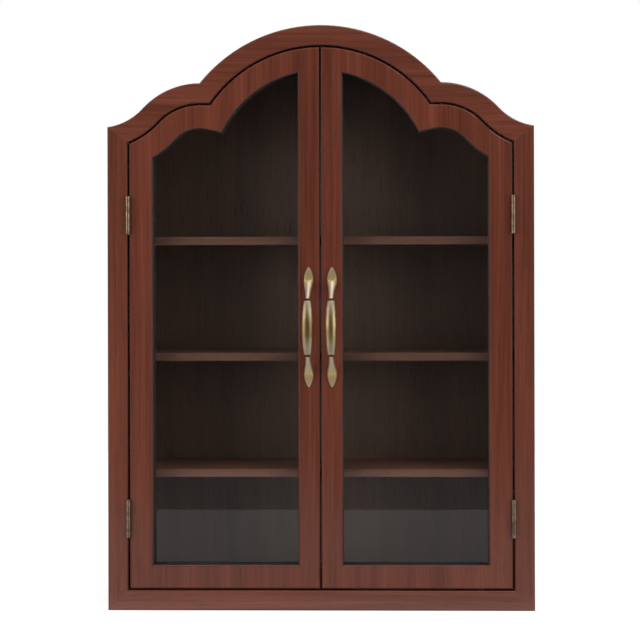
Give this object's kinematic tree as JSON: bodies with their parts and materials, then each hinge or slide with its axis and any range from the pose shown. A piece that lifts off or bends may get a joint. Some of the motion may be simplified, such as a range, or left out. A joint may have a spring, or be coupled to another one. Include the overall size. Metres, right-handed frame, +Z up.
{
  "type": "glass wall cabinet",
  "caption": "Shallow wooden wall cabinet with an arched face frame, glazed double doors on butt hinges with brass bow pulls, housed shelves inside and keyhole hangers behind.",
  "frame": {"origin": "on the wall plane, midway between the entry holes of the keyhole hangers", "axes": "+X to the right seen from the front, -Y out of the front, +Y into the wall, +Z up"},
  "size_m": [0.426, 0.1531, 0.584],
  "materials": {
    "frame_wood": "cherry stain, satin lacquer",
    "door_wood": "cherry stain, satin lacquer",
    "carcass_wood": "cherry stain, satin lacquer",
    "back_wood": "cherry stain, satin lacquer",
    "shelf_wood": "cherry stain, satin lacquer",
    "dowel_wood": "raw beech",
    "glass": "clear, polished",
    "pull_brass": "antique, lacquered",
    "hinge_bronze": "antique bronze, satin",
    "steel": "zinc plated",
    "catch_plastic": "brown, satin",
    "magnet": "ground"
  },
  "bodies": {
    "cabinet": {"frame_top_rail": "frame_wood", "frame_right_stile": "frame_wood", "frame_left_stile": "frame_wood", "frame_bottom_rail": "frame_wood", "right_side_panel": "carcass_wood", "left_side_panel": "carcass_wood", "bottom_panel": "carcass_wood", "roof_arch": "carcass_wood", "right_roof_shoulder": "carcass_wood", "left_roof_shoulder": "carcass_wood", "hanging_lower_rail": "carcass_wood", "hanging_upper_rail": "carcass_wood", "back_panel": "back_wood", "lower_shelf": "shelf_wood", "middle_shelf": "shelf_wood", "upper_shelf": "shelf_wood", "frame_dowels": "dowel_wood", "frame_mitre_dowels": "dowel_wood", "bottom_dowels": "dowel_wood", "right_upper_hinge_frame_leaf": "hinge_bronze", "right_lower_hinge_frame_leaf": "hinge_bronze", "left_upper_hinge_frame_leaf": "hinge_bronze", "left_lower_hinge_frame_leaf": "hinge_bronze", "hinge_pins": "hinge_bronze", "frame_hinge_screws": "hinge_bronze", "back_brads": "steel", "right_hanger_plate": "steel", "left_hanger_plate": "steel", "hanger_screws": "steel", "rail_screws": "steel", "catch_screws": "steel", "catch_housing": "catch_plastic", "catch_magnets": "magnet"},
    "right_door": {"right_door_frame": "door_wood", "right_glass_pane": "glass", "right_glazing_bead": "door_wood", "right_bead_pins": "steel", "right_pull": "pull_brass", "right_pull_screws": "steel", "right_upper_hinge_door_leaf": "hinge_bronze", "right_lower_hinge_door_leaf": "hinge_bronze", "right_door_hinge_screws": "hinge_bronze", "right_strike_plate": "steel", "right_strike_screw": "steel"},
    "left_door": {"left_door_frame": "door_wood", "left_glass_pane": "glass", "left_glazing_bead": "door_wood", "left_bead_pins": "steel", "left_pull": "pull_brass", "left_pull_screws": "steel", "left_upper_hinge_door_leaf": "hinge_bronze", "left_lower_hinge_door_leaf": "hinge_bronze", "left_door_hinge_screws": "hinge_bronze", "left_strike_plate": "steel", "left_strike_screw": "steel"}
  },
  "joints": [
    {"name": "right_door_hinge", "type": "hinge", "parent": "cabinet", "child": "right_door", "pos_m": [0.192, -0.129, 0], "axis": [0, 0, 1], "range_deg": [0, 180]},
    {"name": "left_door_hinge", "type": "hinge", "parent": "cabinet", "child": "left_door", "pos_m": [-0.192, -0.129, 0], "axis": [0, 0, -1], "range_deg": [0, 180]}
  ]
}
